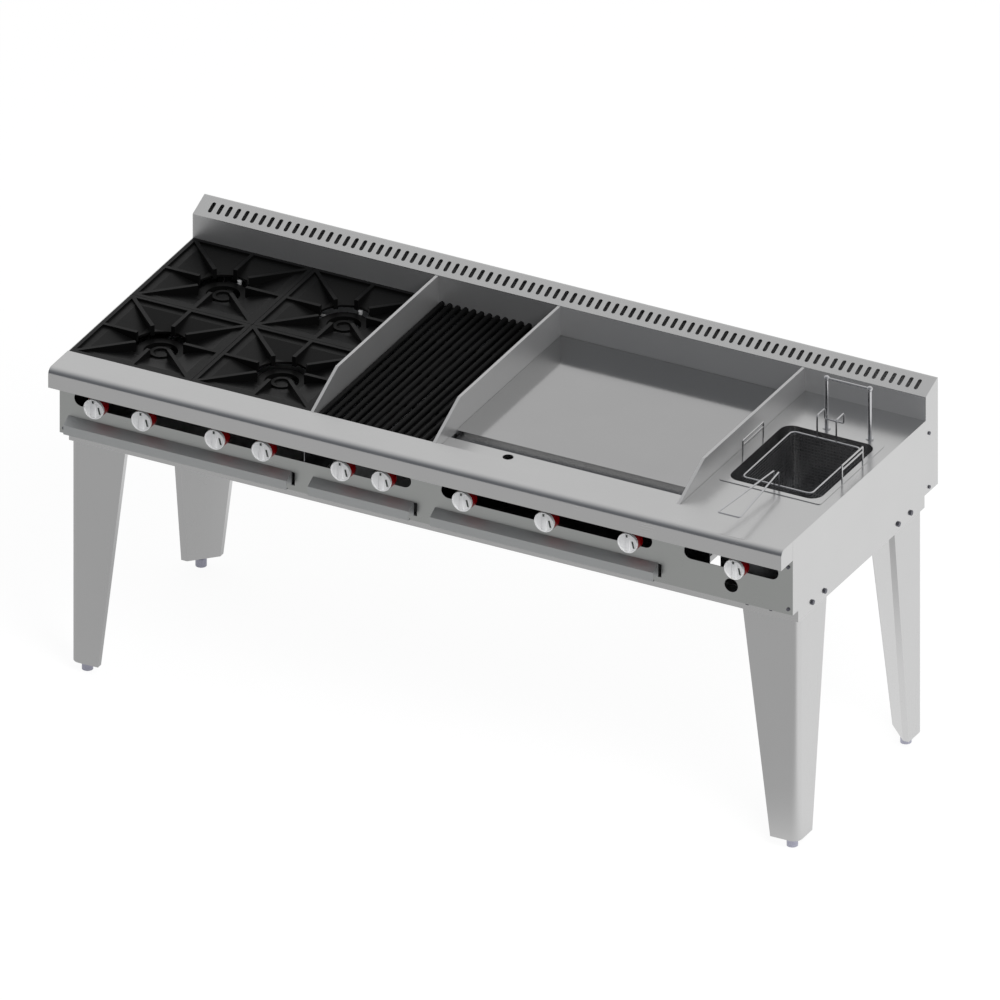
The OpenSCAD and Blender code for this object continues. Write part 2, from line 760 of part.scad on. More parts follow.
module burner_supports() {
    low = grate_z - seat - 14;
    high = grate_z - seat;
    ledge = grate_gap + grate_bar - 1;
    half = grate_gap / 2 + grate_bar - 1;
    xa = sheet;
    xb = x1 - guard_t / 2;
    mid = spot_y(0) + (grate_d + grate_gap) / 2;
    spine = spot_x(0) + (grate_w + grate_gap) / 2;
    color(dark_steel) place() {
        block([xa, y_land, low], [xb, y_land + ledge, high]);
        block([xa, y_back - ledge, low], [xb, y_back, high]);
        block([xa, mid - half, low], [xb, mid + half, high]);
        block([spine - half, y_land, low], [spine + half, y_back, high]);
        for (r = rails) {
            h = min(16, r[3] - z_box - sheet - 1);
            block([r[0], r[2] - 10, r[3] - 2], [r[1], r[2] + 10, r[3]]);
            block([r[0], r[2] - 10, r[3] - h], [r[1], r[2] - 8, r[3]]);
        }
        // Front of the fryer's fire box, with a gap to light the burner through
        for (x = [[x3 + bulk_t / 2, eye_x - 87], [eye_x - 61, row_w - sheet]])
            block([x[0], fire_wall_y, z_box + sheet], [x[1], fire_wall_y + sheet, fire_wall_z]);
    }
}

module pilot_tubes() {
    r = pilot_dia / 2;
    riser = r + 0.6;
    y = spot_y(2) + pilot_back;
    z = tube_z;
    xm = spot_x(0) + grate_w / 2;
    xs = [spot_x(2) + pilot_side, spot_x(3) + pilot_side];
    tap = z_knob + pipe_r + 0.1;
    color([0.85, 0.85, 0.85]) place() {
        rod_x([xs[0], y, z], xs[1] - xs[0], r);
        for (x = xs) {
            rod_z([x, y, z - riser], z_top - 28 - z + riser, riser);
            rod_z([x, y, z_top - 35], 8, riser + 1);
        }
        rod_y([xm, pipe_y, z], y - pipe_y, r + 0.3);
        rod_z([xm, pipe_y, tap], z + riser - tap, riser);
    }
}

module broiler_grate() {
    pitch = (broil_x1 - broil_x0) / bar_n;
    y0 = y_land + grate_gap;
    l = y_back - y0 - grate_gap;
    z = broil_z - bar_dia / 2;
    color([0.08, 0.08, 0.08]) place() {
        for (i = [0:bar_n - 1]) rod_y([broil_x0 + (i + 0.5) * pitch, y0, z], l, bar_dia / 2);
        for (k = [0:4]) translate([broil_x0 + pitch / 4, y0 + k * (l - 12) / 4, broil_low])
            cube([broil_x1 - broil_x0 - pitch / 2, 12, cross_h]);
    }
}

module radiant_rack() {
    color(dark_steel) place() for (rear = [0, 1]) {
        ya = rear == 1 ? y_back - 26 : y_land;
        yb = rear == 1 ? y_back : y_land + 26;
        block([x1 + guard_t / 2, ya, rack_z], [x2 - guard_t / 2, yb, rack_z + 2]);
        yc = rear == 1 ? y_back - 2 : y_land;
        block([x1 + guard_t / 2, yc, rack_z], [x2 - guard_t / 2, yc + 2, broil_low - seat]);
        yd = rear == 1 ? y_back - 14 : y_land;
        block([x1 + guard_t / 2, yd, broil_low - seat - 2],
            [x2 - guard_t / 2, yd + 14, broil_low - seat]);
    }
}

module broiler_radiants() {
    color([0.2, 0.2, 0.2]) place() for (x = broiler_knobs) plate_y(y_land + 4, y_back - y_land - 8)
        translate([x, rack_z + 2]) polygon([[-radiant_w / 2, 0], [0, radiant_rise],
            [radiant_w / 2, 0], [radiant_w / 2, radiant_t], [0, radiant_rise + radiant_t],
            [-radiant_w / 2, radiant_t]]);
}

// A straight burner tube with an open mouth at the front
module straight_burner(x, y1, z) {
    difference() {
        rod_y([x, tube_y0, z], y1 - tube_y0, tube_r);
        rod_y([x, tube_y0 - 1, z], y1 - tube_y0 - 4, tube_r - tube_wall);
    }
}

module tube_burners() {
    color([0.25, 0.25, 0.25]) place() for (x = concat(broiler_knobs, griddle_knobs))
        straight_burner(x, y_back - 40, tube_z);
}

module griddle_plate() {
    low = griddle_z - griddle_t;
    color([0.62, 0.62, 0.62]) place() {
        block([griddle_x0, trough_y1, low], [griddle_x1, y_back - 1, griddle_z]);
        for (x = [x2 + bulk_t / 2, x3 - bulk_t / 2 - rail_w])
            block([x, trough_y1 + 16, low - 12], [x + rail_w, y_back - 2, low]);
    }
}

module grease_trough() {
    low = griddle_z - griddle_t - sheet;
    color(steel) place() difference() {
        union() {
            block([griddle_x0, y_land, ledge_z - sheet], [griddle_x1, trough_y0, ledge_z]);
            block([griddle_x0, trough_y0 - sheet, low], [griddle_x1, trough_y0, ledge_z]);
            block([griddle_x0, trough_y0 - sheet, low], [griddle_x1, trough_y1 + 12, low + sheet]);
        }
        rod_z([x2 + drain_x, drain_y, ledge_z - sheet - 1], sheet + 2, drain_dia / 2);
    }
}

// The spout that takes the grease from the ledge down to the tray
module grease_drain() {
    l = ledge_z - sheet - drain_z0;
    color(steel) place() translate([x2 + drain_x, drain_y, drain_z0]) difference() {
        cylinder(h = l, r = drain_dia / 2 + 2);
        translate([0, 0, -1]) cylinder(h = l + 2, r = drain_dia / 2);
    }
}

module fryer_deck() {
    hole_w = tank_w + 2 * tank_t + 1;
    hole_l = tank_l + 2 * tank_t + 1;
    color(steel) place() {
        difference() {
            block([deck_x0, y_land, z_top - sheet], [row_w, y_back, z_top]);
            translate([tank_x, tank_y, z_top - sheet - 1]) linear_extrude(sheet + 2)
                round_rect(hole_w, hole_l, tank_r + tank_t);
        }
        block([row_w - sheet, y_land, z_cap], [row_w, y_back, z_top]);
        block([deck_x0, y_land, z_cap], [deck_x0 + sheet, y_back, z_top]);
    }
}

module fryer_tank() {
    rim_z = z_top + sheet;
    color(dark_steel) place() translate([tank_x, tank_y, 0]) {
        difference() {
            union() {
                translate([0, 0, tank_z0]) linear_extrude(rim_z - tank_z0)
                    round_rect(tank_w + 2 * tank_t, tank_l + 2 * tank_t, tank_r + tank_t);
                translate([0, 0, z_top]) linear_extrude(sheet)
                    round_rect(tank_w + 2 * tank_rim, tank_l + 2 * tank_rim, 8);
            }
            translate([0, 0, tank_z0 + tank_t]) linear_extrude(tank_h + 10)
                round_rect(tank_w, tank_l, tank_r);
        }
        // Wire guards on both sides of the rim, each with two top rails
        for (s = [-1, 1]) {
            x = s * (tank_w / 2 + tank_rim - 3.5);
            for (h = [32, 43]) wire([x, -44, rim_z + h], [x, 52, rim_z + h], 2);
            for (y = [-44, 52]) rod_z([x, y, rim_z], 43, 2);
        }
    }
}

module fryer_basket() {
    wall = 2;
    inset = 1.5;
    low = tank_z0 + tank_t + seat;
    z = z_top;
    zh = z + handle_h;
    zk = z + hook_h;
    y0 = basket_y0 + wire_r;
    y1 = basket_y1 - wire_r;
    y2 = basket_y1 + hook_back;
    y_end = basket_y0 - handle_l;
    neck = 6;
    spread = 27;
    hook = hook_w / 2;
    color([0.7, 0.7, 0.7]) place() {
        difference() {
            union() {
                translate([tank_x, tank_y, low]) linear_extrude(z - low)
                    round_rect(basket_w - 2 * inset, basket_l - 2 * inset, basket_r - inset);
                translate([tank_x, tank_y, z - wire_r]) linear_extrude(wire_dia)
                    round_rect(basket_w, basket_l, basket_r);
            }
            translate([tank_x, tank_y, low + wall]) linear_extrude(z - low + wire_dia)
                round_rect(basket_w - 2 * wire_dia, basket_l - 2 * wire_dia, basket_r - wire_dia);
        }
        // Handle: two wires up from the rim, spreading towards the front
        translate([tank_x, 0, 0]) bent_wire([[-neck, y0, z], [-neck, y0, zh], [-spread, y_end, zh],
            [spread, y_end, zh], [neck, y0, zh], [neck, y0, z]], wire_r * 0.9);
        // Hook at the rear rim
        translate([tank_x, 0, 0]) bent_wire([[-hook, y1, z], [-hook, y1, zk], [-hook, y2, zk],
            [-hook, y2, zk - hook_drop], [hook, y2, zk - hook_drop], [hook, y2, zk],
            [hook, y1, zk], [hook, y1, z]], thin_r);
    }
}

module basket_hanger() {
    color("silver") place() {
        for (s = [-1, 1]) {
            x = hanger_x + s * hanger_w / 2;
            rod_z([x, hanger_y, z_top], hanger_h, 4.5);
            translate([x, hanger_y, z_top + hanger_h]) sphere(6.5);
            rod_z([x, hanger_y, z_top], 3, 9);
        }
        rod_x([hanger_x - hanger_w / 2, hanger_y, z_top + hanger_h], hanger_w, 3);
    }
}

module fryer_burner() {
    x = fryer_knobs[0];
    y_down = tank_y - tank_l / 2 - tank_t - tube_r - 14;
    color([0.25, 0.25, 0.25]) place() difference() {
        union() {
            rod_y([x, tube_y0, tube_z], y_down - tube_y0, tube_r);
            translate([x, y_down, tube_z]) sphere(tube_r);
            rod_z([x, y_down, fire_z], tube_z - fire_z, tube_r);
            translate([x, y_down, fire_z]) sphere(tube_r);
            rod_y([x, y_down, fire_z], tank_y + tank_l / 2 - 20 - y_down, tube_r);
        }
        rod_y([x, tube_y0 - 1, tube_z], 60, tube_r - tube_wall);
    }
}

inlet_r = inlet_bore / 2 + 5;

module gas_manifold() {
    color([0.22, 0.22, 0.24]) place() {
        rod_x([pipe_x0, pipe_y, z_knob], pipe_x1 - pipe_x0, pipe_r);
        translate([pipe_x0, pipe_y, z_knob]) sphere(pipe_r);
        rod_z([pipe_x0, pipe_y, join_z], z_knob - join_z, pipe_r);
        rod_x([pipe_x1 - 12, pipe_y, z_knob], 12, pipe_r + 4);
    }
}

module gas_inlet_pipe() {
    color([0.22, 0.22, 0.24]) place() difference() {
        union() {
            rod_z([pipe_x0, pipe_y, inlet_z], join_z - inlet_z, pipe_r);
            translate([pipe_x0, pipe_y, inlet_z]) sphere(pipe_r);
            rod_y([pipe_x0, pipe_y, inlet_z], row_d - 22 - pipe_y, pipe_r);
            rod_y([pipe_x0, row_d - 26, inlet_z], 26, inlet_r);
        }
        rod_y([pipe_x0, row_d - 20, inlet_z], 21, inlet_bore / 2);
    }
}

module gas_valves() {
    color("goldenrod") place() for (x = knob_x) difference() {
        union() {
            rod_y([x, valve_y, z_knob], pipe_y - valve_y, valve_r);
            block([x - 8, valve_y + 5, z_knob], [x + 8, tube_y0 - 8, tube_z + 7]);
            rod_y([x, tube_y0 - 9, tube_z], 14, spud_r);
        }
        rod_x([x - 20, pipe_y, z_knob], 40, pipe_r + 0.1);
        rod_y([x, valve_y - 1, z_knob], spindle_in + 1, spindle_r + run_fit);
    }
}

// A knob, its skirt and its stem; the stem turns in the valve
module knob(i) {
    x = knob_x[i];
    face = y_panel - knob_gap - knob_l;
    skirt = face + 8;
    r = knob_dia / 2;
    place() translate([x, 0, z_knob]) {
        color([0.93, 0.93, 0.93]) difference() {
            union() {
                rod_y([0, face + 3, 0], 5, r);
                difference() {
                    rod_y([0, face, 0], 4, r);
                    rod_y([0, face - 1, 0], 4, r - 3);
                }
                block([-5.5, face, -r + 2], [5.5, face + 4, r - 2]);
            }
            block([-1, face - 1, r - 12], [1, face + 1, r + 1]);
        }
        color([0.5, 0, 0.02]) {
            rod_y([0, skirt, 0], 8, r - 1);
            rod_y([0, skirt + 7, 0], knob_l - 15, r - 4);
        }
        color("silver") rod_y([0, y_panel - knob_gap, 0],
            valve_y + spindle_in - 1 - y_panel + knob_gap, spindle_r);
    }
}

// A tray pan with its folded handle lip
module tray(side) {
    xa = side[0] + tray_left;
    xb = side[1] - tray_right;
    y0 = y_panel - 0.3;
    y1 = y_back - tray_rear;
    t = tray_wall;
    lip_y = y_panel - lip_reach;
    lip_z = lip_top - lip_slope;
    lip_low = lip_z - lip_face;
    color(dark_steel) place() {
        difference() {
            block([xa + tray_in, y0 - t, tray_z], [xb - tray_in, y1, tray_z + tray_h]);
            block([xa + tray_in + t, y0, tray_z + t], [xb - tray_in - t, y1 - t, tray_z + tray_h + 1]);
        }
        plate_x(xa, xb - xa) polygon([[y0, tray_z - 2], [y0, lip_top], [lip_y, lip_z],
            [lip_y, lip_low], [lip_y + 8, lip_low], [lip_y + 8, lip_low + t], [lip_y + t, lip_low + t],
            [lip_y + t, lip_z - t * 0.6], [y0 - t, lip_top - 1.8 * t], [y0 - t, tray_z - 2]]);
    }
}

// Ledges along both sides of each tray, with their wall flanges turned down
module tray_runners() {
    z1 = tray_z - seat;
    t = 1.5;
    y0 = y_in + 2;
    y1 = y_back + 6;
    color(dark_steel) place() for (k = [0:2]) {
        wall_l = k == 0 ? sheet : tray_sides[k][0] + bulk_t / 2;
        wall_r = tray_sides[k][1] - bulk_t / 2;
        in_l = tray_sides[k][0] + tray_left + tray_in + runner_lip;
        in_r = tray_sides[k][1] - tray_right - tray_in - runner_lip;
        block([wall_l, y0, z1 - t], [in_l, y1, z1]);
        block([wall_l, y0, z1 - runner_drop], [wall_l + t, y1, z1]);
        block([in_r, y0, z1 - t], [wall_r, y1, z1]);
        block([wall_r - t, y0, z1 - runner_drop], [wall_r, y1, z1]);
        block([wall_l, y1 - 12, z1 - t], [wall_r, y1, z1]);
    }
}

module screw() {
    rotate([90, 0, 0]) cylinder(h = 2.4, r = screw_head / 2);
    rod_y([0, -0.5, 0], 2 * sheet + 0.9, screw_dia / 2);
}

// A leg bolt with its head outside the frame and its nut inside the leg
module leg_bolt() {
    rod_y([0, -frame_t, 0], frame_t + leg_t, bolt_dia / 2);
    translate([0, -frame_t, 0]) rotate([90, 0, 0])
        cylinder(h = bolt_rise, r = bolt_head / 2, $fn = 6);
    translate([0, leg_t + 6, 0]) rotate([90, 0, 0]) cylinder(h = 6, r = bolt_head / 2, $fn = 6);
}

module fasteners() {
    color("silver") place() {
        for (i = [0:3]) leg_corner(i) for (a = bolt_at, side = [0, 1])
            mirror([side, -side, 0]) translate([a, 0, bolt_z]) leg_bolt();
        for (x = [screw_in, row_w - screw_in], z = [screw_lo, screw_hi])
            translate([x, y_panel, z_box + z]) screw();
        for (z = rear_screw_z) {
            translate([row_w, rear_screw_y, z]) rotate(90) screw();
            translate([0, rear_screw_y, z]) rotate(-90) screw();
        }
    }
}

base_frame();
side_panel(false);  // side_panel_left
side_panel(true);  // side_panel_right
front_panel();
front_apron();
rear_panel();
backguard();
bulkheads();
burner_supports();
pilot_tubes();
broiler_grate();
broiler_radiants();
tube_burners();
radiant_rack();
griddle_plate();
grease_trough();
grease_drain();
fryer_deck();
fryer_tank();
fryer_basket();
basket_hanger();
fryer_burner();
gas_inlet_pipe();
gas_manifold();
gas_valves();
tray_runners();
louvre_panel();
fasteners();
for (i = [0:3]) leg(i);
for (i = [0:3]) foot(i);
for (i = [0:3]) grate(i);
for (i = [0:3]) burner(i);
for (i = [0:2]) tray(tray_sides[i]);
for (i = [0:2]) guard([x1, x2, x3][i]);
for (i = [0:9]) knob(i);
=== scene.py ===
# %% [markdown]
# # Commercial gas range-top
# A catering line on four sheet legs: four open burners, a char-broiler, a griddle and a fryer share one
# stainless body, one gas pipe and one louvred backguard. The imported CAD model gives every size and
# place. This script gives each surface its finish, and models the pieces whose shape is too fine for CAD.

# %% Load the frame
import math
import bmesh
import bpy
from mathutils import Matrix, Vector


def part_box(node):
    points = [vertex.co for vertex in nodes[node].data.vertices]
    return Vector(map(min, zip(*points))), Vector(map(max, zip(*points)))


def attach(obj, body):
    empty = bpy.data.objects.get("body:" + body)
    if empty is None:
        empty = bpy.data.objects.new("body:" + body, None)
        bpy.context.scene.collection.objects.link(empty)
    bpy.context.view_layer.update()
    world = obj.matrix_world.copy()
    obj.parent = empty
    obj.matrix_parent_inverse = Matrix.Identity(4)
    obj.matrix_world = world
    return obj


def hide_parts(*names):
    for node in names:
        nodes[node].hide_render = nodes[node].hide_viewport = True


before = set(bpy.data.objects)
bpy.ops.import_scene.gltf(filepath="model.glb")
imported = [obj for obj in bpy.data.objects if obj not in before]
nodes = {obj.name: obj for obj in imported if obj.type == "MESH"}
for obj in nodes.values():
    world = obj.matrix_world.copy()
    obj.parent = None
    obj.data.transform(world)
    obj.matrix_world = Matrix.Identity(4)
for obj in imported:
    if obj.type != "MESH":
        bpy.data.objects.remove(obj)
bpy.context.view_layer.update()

CORNERS = ["front_left", "front_right", "rear_left", "rear_right"]
MM = 0.001
print("frame loaded:", len(nodes), "nodes")

# %% [markdown]
# The camera comes first. A catalogue view of a long line of equipment is drawn without perspective, so
# that all four sections keep their scale. An orthographic camera gives that: only its direction counts.

# %% Camera
AZIMUTH, ELEVATION = math.radians(27.7), math.radians(28.5)
FRAME_WIDTH = 2.174
right = Vector((math.cos(AZIMUTH), math.sin(AZIMUTH), 0))
back = Vector((math.sin(AZIMUTH) * math.cos(ELEVATION), -math.cos(AZIMUTH) * math.cos(ELEVATION),
               math.sin(ELEVATION)))
up = back.cross(right)
camera = bpy.data.objects.new("camera", bpy.data.cameras.new("camera"))
bpy.context.scene.collection.objects.link(camera)
camera.data.type = "ORTHO"
camera.data.ortho_scale = FRAME_WIDTH
camera.data.clip_end = 60
camera.matrix_world = (Matrix.Translation(right * 0.0152 + up * 0.4559 + back * 8)
                       @ Matrix((right, up, back)).transposed().to_4x4())
bpy.context.scene.camera = camera
bpy.context.scene.view_settings.view_transform = "Standard"

# %% [markdown]
# Two helpers keep the materials short. One turns an sRGB hex colour into the linear numbers that a
# shader works with. The other adds one node, sets its properties and inputs, and makes its links.

# %% Helpers for materials
def colour(text):
    """An sRGB hex colour as linear red, green, blue and alpha."""
    parts = [int(text[i:i + 2], 16) / 255 for i in (1, 3, 5)]
    return [c / 12.92 if c <= 0.04045 else ((c + 0.055) / 1.055) ** 2.4 for c in parts] + [1]


def add(tree, kind, inputs=None, **settings):
    """Adds a node. inputs maps a socket's name or number to a value, or to a socket to link from."""
    node = tree.nodes.new(kind)
    for key, value in settings.items():
        setattr(node, key, value)
    for key, value in (inputs or {}).items():
        if isinstance(value, bpy.types.NodeSocket):
            tree.links.new(value, node.inputs[key])
        else:
            node.inputs[key].default_value = value
    return node


def blank(name):
    """A new material with nothing in its tree but an output, and that tree."""
    material = bpy.data.materials.new(name)
    material.use_nodes = True
    material.node_tree.nodes.clear()
    return material, material.node_tree

# %% [markdown]
# The studio is plain: a pale floor, a bright back wall and a dim front, which is what makes flat
# stainless panels read as metal. Steel shows what it reflects, so the world is a soft gradient from a
# dim front to a bright rear, and the camera itself sees white. One large lamp gives the shadow.

# %% World
scene = bpy.context.scene
world = bpy.data.worlds.new("studio")
scene.world = world
world.use_nodes = True
tree = world.node_tree
tree.nodes.clear()
where = add(tree, "ShaderNodeTexCoord")
axes = add(tree, "ShaderNodeSeparateXYZ", {0: where.outputs["Generated"]})
spread = add(tree, "ShaderNodeMapRange", {0: axes.outputs["Y"], 1: -1.0, 2: 1.0})
ramp = add(tree, "ShaderNodeValToRGB", {0: spread.outputs[0]})
ramp.color_ramp.elements[0].position, ramp.color_ramp.elements[0].color = 0.0, colour("#606266")
ramp.color_ramp.elements[1].position, ramp.color_ramp.elements[1].color = 1.0, colour("#E0E0E0")
for at, tone in [(0.12, "#6E7074"), (0.4, "#B0B1B3"), (0.62, "#CCCCCC"), (0.9, "#DADADA")]:
    ramp.color_ramp.elements.new(at).color = colour(tone)
studio = add(tree, "ShaderNodeBackground", {"Color": ramp.outputs[0], "Strength": 1.0})
white = add(tree, "ShaderNodeBackground", {"Color": colour("#FFFFFF"), "Strength": 1.0})
ray = add(tree, "ShaderNodeLightPath")
pick = add(tree, "ShaderNodeMixShader",
           {0: ray.outputs["Is Camera Ray"], 1: studio.outputs[0], 2: white.outputs[0]})
add(tree, "ShaderNodeOutputWorld", {0: pick.outputs[0]})


def lamp(name, place, aim, size, power):
    """A square soft lamp at place, facing aim."""
    light = bpy.data.lights.new(name, "AREA")
    light.shape, light.size, light.energy = "SQUARE", size, power
    ob = bpy.data.objects.new(name, light)
    scene.collection.objects.link(ob)
    ob.matrix_world = (Matrix.Translation(place)
                       @ (Vector(aim) - Vector(place)).to_track_quat("-Z", "Y").to_matrix().to_4x4())
    ob.visible_glossy = False
    return ob


lamp("key", (3.5, -2.5, 5.0), (0, 0, 0.6), 3.0, 260)
print("studio set")

# %% [markdown]
# The floor is a pale painted sheet. What the metal reflects from it is a painted glow of light: mid grey
# near the front, standing for the studio's half-light, and pale at the rear, standing for the bright wall,
# so the steel fronts reflect a mid grey and the right-hand sides a pale one.

# %% Floor
bpy.ops.object.select_all(action="DESELECT")
bpy.ops.mesh.primitive_plane_add(size=40, location=(0, 0, 0))
floor = bpy.context.object
floor.name = "floor"
paint, tree = blank("floor_paint")
where = add(tree, "ShaderNodeTexCoord")
axes = add(tree, "ShaderNodeSeparateXYZ", {0: where.outputs["Object"]})
aside = add(tree, "ShaderNodeMath", {0: axes.outputs["X"], 1: 0.5, 2: axes.outputs["Y"]},
            operation="MULTIPLY_ADD")
spread = add(tree, "ShaderNodeMapRange", {0: aside.outputs[0], 1: -0.2, 2: 0.4},
             interpolation_type="SMOOTHSTEP")
tone = add(tree, "ShaderNodeMix", {0: spread.outputs[0], 6: colour("#BBBBBB"), 7: colour("#F2F2F2")},
           data_type="RGBA")
# painted reflection: the steel sees the floor as a glow, mid grey at the front and pale at the rear
painted_reflection_glow = add(tree, "ShaderNodeEmission", {0: tone.outputs[2], 1: 1.0})
matt = add(tree, "ShaderNodeBsdfDiffuse", {0: colour("#E6E6E6")})
glow = add(tree, "ShaderNodeEmission", {0: colour("#FFFFFF"), 1: 1.08})
bright = add(tree, "ShaderNodeMixShader", {0: 0.14, 1: glow.outputs[0], 2: matt.outputs[0]})
ray = add(tree, "ShaderNodeLightPath")
shown = add(tree, "ShaderNodeMixShader",
            {0: ray.outputs["Is Camera Ray"], 1: matt.outputs[0], 2: bright.outputs[0]})
final = add(tree, "ShaderNodeMixShader",
            {0: ray.outputs["Is Glossy Ray"], 1: shown.outputs[0], 2: painted_reflection_glow.outputs[0]})
add(tree, "ShaderNodeOutputMaterial", {0: final.outputs[0]})
floor.data.materials.append(paint)

# %% [markdown]
# Most of the range is folded stainless sheet with a brushed finish. Brushing leaves fine parallel
# scratches, here 0.4 mm wide and about 60 mm long. They are too fine to see one by one, so they only
# shift the roughness a little from line to line, and a larger, softer noise stands for handling marks.

# %% Metals
def metal(name, tone, rough, streak=(60, 60, 60), spread=0.05, bump=0.0, metallic=1.0, specular=0.5):
    """A metal with streaks of the given sizes in millimetres along X, Y and Z."""
    material, tree = blank(name)
    where = add(tree, "ShaderNodeTexCoord")
    scale = [1 / (s * MM) for s in streak]
    grain = add(tree, "ShaderNodeMapping", {"Vector": where.outputs["Object"], "Scale": scale})
    lines = add(tree, "ShaderNodeTexNoise",
                {"Vector": grain.outputs[0], "Scale": 1.0, "Detail": 3.0})
    marks = add(tree, "ShaderNodeTexNoise",
                {"Vector": where.outputs["Object"], "Scale": MARKS_PER_METRE, "Detail": 4.0})
    both = add(tree, "ShaderNodeMix", {0: 0.4, 2: lines.outputs["Fac"], 3: marks.outputs["Fac"]})
    level = add(tree, "ShaderNodeMapRange",
                {0: both.outputs[0], 1: 0.25, 2: 0.75, 3: rough - spread, 4: rough + spread})
    dull = [c * DULL for c in colour(tone)[:3]] + [1]
    tint = add(tree, "ShaderNodeMix", {0: marks.outputs["Fac"], 6: dull, 7: colour(tone)},
               data_type="RGBA")
    shader = add(tree, "ShaderNodeBsdfPrincipled",
                 {"Base Color": tint.outputs[2], "Roughness": level.outputs[0],
                  "Metallic": metallic, "Specular IOR Level": specular})
    if bump:
        relief = add(tree, "ShaderNodeBump",
                     {"Height": lines.outputs["Fac"], "Strength": bump, "Distance": RELIEF})
        tree.links.new(relief.outputs[0], shader.inputs["Normal"])
    add(tree, "ShaderNodeOutputMaterial", {0: shader.outputs[0]})
    return material


MARKS_PER_METRE = 9.0  # handling marks, about 110 mm across
DULL = 0.94            # how much darker the dull patches are
RELIEF = 0.2 * MM      # depth of a scratch or of the casting's grain

# Stainless sheet brushed along the row: a soft mirror, blurred into long streaks.
brushed_steel = metal("brushed_stainless_sheet", "#DADADA", 0.24, (60, 0.5, 0.5), 0.05, 0.02)
# The same sheet with its brushing upright, as it runs on a folded leg.
leg_steel = metal("brushed_stainless_legs", "#DADADA", 0.30, (0.5, 0.5, 60), 0.05, 0.02)
# The front panel's sheet is a little duller and rougher, and its darker tone is painted shade from the apron
# that overhangs it.
panel_steel_painted_shade = metal("brushed_stainless_panel_painted_shade", "#C2C4C2", 0.30, (60, 0.5, 0.5), 0.05, 0.02)
# Guards and backguard are wiped often: scratched in all directions, a satin grey.
guard_steel = metal("brushed_stainless_guards", "#CECECE", 0.40, (0.5, 60, 0.5), 0.05, 0.02, 0.78)
# Tray sheet is thin and coarse, so it shows hardly any reflections.
tray_steel = metal("brushed_stainless_trays", "#C6C8C8", 0.46, (60, 0.5, 0.5), 0.05, 0.02, 0.85)
# A thick plate ground from front to rear: the smoothest and brightest face of all.
griddle_steel = metal("ground_griddle_plate", "#BDBDBD", 0.10, (0.6, 80, 0.6), 0.03, 0.01)
# Galvanised sheet inside the body: matt grey with a soft, cloudy grain.
zinc_steel = metal("galvanised_sheet", "#9A9C9E", 0.45, (12, 12, 12), 0.10, 0.0)
# Nickel-plated wire: bright lines with a sharp highlight.
bright_wire = metal("bright_plated_wire", "#D8D8DA", 0.18, (3, 3, 3), 0.04)
# The same wire where hot oil has darkened it.
dull_wire = metal("fat_darkened_wire", "#707072", 0.45, (3, 3, 3), 0.06, metallic=0.9)
# Zinc-plated screws and bolts: small dark dots from a distance.
fastener = metal("zinc_plated_fasteners", "#6E6E76", 0.40, (2, 2, 2), 0.06, metallic=0.8)
# Zinc-plated feet: a pale grey with the faint blue of the plating.
foot_zinc = metal("zinc_plated_feet", "#C8C8D8", 0.40, (2, 2, 2), 0.06, metallic=0.6)
# Soft aluminium pilot tube: nearly white at its tips.
tube_bright = metal("bright_aluminium_tube", "#F2F2F2", 0.40, (2, 2, 2), 0.05, metallic=0.4)
# Cast brass valves, dulled by heat.
brass = metal("cast_brass_valves", "#A08A50", 0.38, (2, 2, 2), 0.08)
# Black steel gas pipe: a thin paint over a smooth pipe.
pipe_black = metal("black_steel_pipe", "#2A2A2E", 0.45, (4, 4, 4), 0.08, metallic=0.3)
# Cast iron seasoned with oil: black, with the grain of the sand mould.
cast_iron = metal("seasoned_cast_iron", "#121212", 0.40, (1.2, 1.2, 1.2), 0.10, 0.5, 0.3, 0.18)
# The same iron under soot, which swallows nearly every highlight.
broiler_iron = metal("blackened_broiler_iron", "#0B0B0B", 0.55, (1.2, 1.2, 1.2), 0.10, 0.5, 0.2, 0.15)
print("metals made:", len(bpy.data.materials))

# %% [markdown]
# Each CAD node whose shape is already right keeps its mesh and only gets its metal. Brushing follows
# the way each part was made: along the row on folded sheet, upright on the legs.

# %% Metals on the CAD nodes
FINISHES = {
    brushed_steel: ["front_apron", "louvre_panel", "side_panel_left", "side_panel_right", "fryer_deck",
                    "fryer_tank", "grease_trough", "grease_drain", "base_frame"],
    tray_steel: ["tray_burners", "tray_broiler", "tray_griddle"],
    guard_steel: ["backguard", "guard_broiler_left", "guard_broiler_right", "guard_griddle_right"],
    panel_steel_painted_shade: ["front_panel"],
    leg_steel: ["leg_" + c for c in CORNERS],
    griddle_steel: ["griddle_plate"],
    zinc_steel: ["rear_panel", "bulkheads", "burner_supports", "tray_runners", "radiant_rack"],
    bright_wire: ["basket_hanger"],
    tube_bright: ["pilot_tubes"],
    fastener: ["fasteners"],
    foot_zinc: ["foot_" + c for c in CORNERS],
    brass: ["gas_valves"],
    pipe_black: ["gas_manifold", "gas_inlet_pipe"],
    cast_iron: ["grate_" + c for c in CORNERS] + ["burner_" + c for c in CORNERS]
               + ["tube_burners", "fryer_burner", "broiler_radiants"],
    broiler_iron: ["broiler_grate"],
}
for material, names in FINISHES.items():
    for name in names:
        nodes[name].data.materials.clear()
        nodes[name].data.materials.append(material)
print("metals on the nodes")

# %% [markdown]
# The knobs and the basket are too fine for the CAD model, so they are modelled here from Blender's own
# primitives. These helpers select one object, pick faces by where they are and which way they face,
# round off sharp edges, and join the finished parts into one object.

# %% Helpers for shapes
def select_only(ob):
    """Makes one object the only selected one, and the active one."""
    bpy.ops.object.select_all(action="DESELECT")
    ob.select_set(True)
    bpy.context.view_layer.objects.active = ob
    return ob


